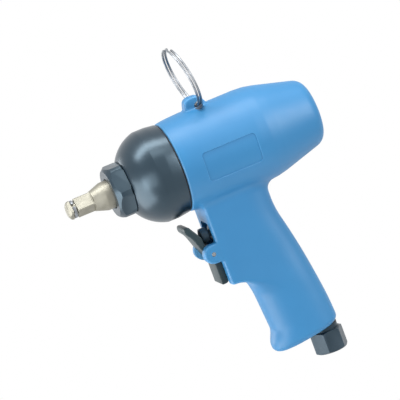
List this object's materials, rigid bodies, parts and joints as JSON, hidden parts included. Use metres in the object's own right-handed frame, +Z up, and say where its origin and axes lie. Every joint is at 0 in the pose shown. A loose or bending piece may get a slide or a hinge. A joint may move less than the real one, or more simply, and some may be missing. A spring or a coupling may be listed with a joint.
{
  "type": "impact wrench",
  "caption": "Pistol-grip air impact wrench with a moulded blue housing, a dark bell-shaped hammer case, a square drive, a rocker trigger and a hang ring.",
  "frame": {"origin": "centre of the end face of the square drive", "axes": "+X out of the drive along its axis, +Y to the tool's left, +Z up, away from the grip"},
  "size_m": [0.1687, 0.0606, 0.2165],
  "materials": {
    "blue_moulding": "satin blue moulding",
    "dark_case_paint": "dark blue-grey semi-gloss paint",
    "trigger_plastic": "dark green-grey",
    "nickel_steel": "warm nickel plating",
    "ground_steel": "ground",
    "bright_wire": "bright drawn wire",
    "sintered_bronze": "sintered",
    "dark_inlet_paint": "dark semi-gloss",
    "valve_plastic": "dark",
    "seal_rubber": "matte",
    "vane_fibre": "pressed fibre",
    "porous_muffler": "porous"
  },
  "bodies": {
    "housing": {"motor_housing": "blue_moulding", "hammer_case": "dark_case_paint", "nose_collar": "dark_case_paint", "case_gasket": "seal_rubber", "anvil_bush": "sintered_bronze", "motor_cylinder": "ground_steel", "front_end_plate": "ground_steel", "rear_end_plate": "ground_steel", "front_bearing": "ground_steel", "rear_bearing": "ground_steel", "trigger_pin": "ground_steel", "forward_valve_bush": "valve_plastic", "reverse_valve_bush": "valve_plastic", "forward_valve_spring": "bright_wire", "reverse_valve_spring": "bright_wire", "air_inlet_bushing": "dark_inlet_paint", "inlet_screen": "sintered_bronze", "inlet_o_ring": "seal_rubber", "exhaust_muffler": "porous_muffler"},
    "rotor": {"rotor": "ground_steel", "rotor_vane_1": "vane_fibre", "rotor_vane_2": "vane_fibre", "rotor_vane_3": "vane_fibre", "rotor_vane_4": "vane_fibre", "rotor_vane_5": "vane_fibre", "rotor_vane_6": "vane_fibre", "hammer_cage": "ground_steel", "hammer_1": "ground_steel", "hammer_2": "ground_steel", "hammer_pin_1": "ground_steel", "hammer_pin_2": "ground_steel"},
    "anvil": {"anvil": "nickel_steel", "socket_retainer_ring": "bright_wire"},
    "trigger": {"trigger": "trigger_plastic"},
    "forward_stem": {"forward_valve_stem": "valve_plastic"},
    "reverse_stem": {"reverse_valve_stem": "valve_plastic"},
    "hang_ring": {"hang_ring": "bright_wire"}
  },
  "joints": [
    {"name": "rotor_spin", "type": "hinge", "parent": "housing", "child": "rotor", "pos_m": [-0.109, 0, 0], "axis": [1, 0, 0], "continuous": true},
    {"name": "anvil_spin", "type": "hinge", "parent": "housing", "child": "anvil", "pos_m": [-0.04, 0, 0], "axis": [1, 0, 0], "continuous": true},
    {"name": "trigger_rock", "type": "hinge", "parent": "housing", "child": "trigger", "pos_m": [-0.0748, 0, -0.0576], "axis": [0, -1, 0], "range_deg": [-8, 8], "stiffness_Nm_per_rad": 0.8},
    {"name": "forward_stem_slide", "type": "slide", "parent": "housing", "child": "forward_stem", "axis": [-1, 0, 0], "range_m": [-0.0016, 0.0016], "deforming": ["forward_valve_spring"]},
    {"name": "reverse_stem_slide", "type": "slide", "parent": "housing", "child": "reverse_stem", "axis": [-1, 0, 0], "range_m": [-0.0016, 0.0016], "deforming": ["reverse_valve_spring"]},
    {"name": "ring_swing", "type": "hinge", "parent": "housing", "child": "hang_ring", "pos_m": [-0.1004, 0, 0.0309], "axis": [0, 1, 0], "range_deg": [-76, 56]}
  ],
  "couplings": [
    {"joint": "anvil_spin", "follows": "rotor_spin", "ratio": 1},
    {"joint": "forward_stem_slide", "follows": "trigger_rock", "m_per_rad": 0.0106},
    {"joint": "reverse_stem_slide", "follows": "trigger_rock", "m_per_rad": -0.0106}
  ]
}
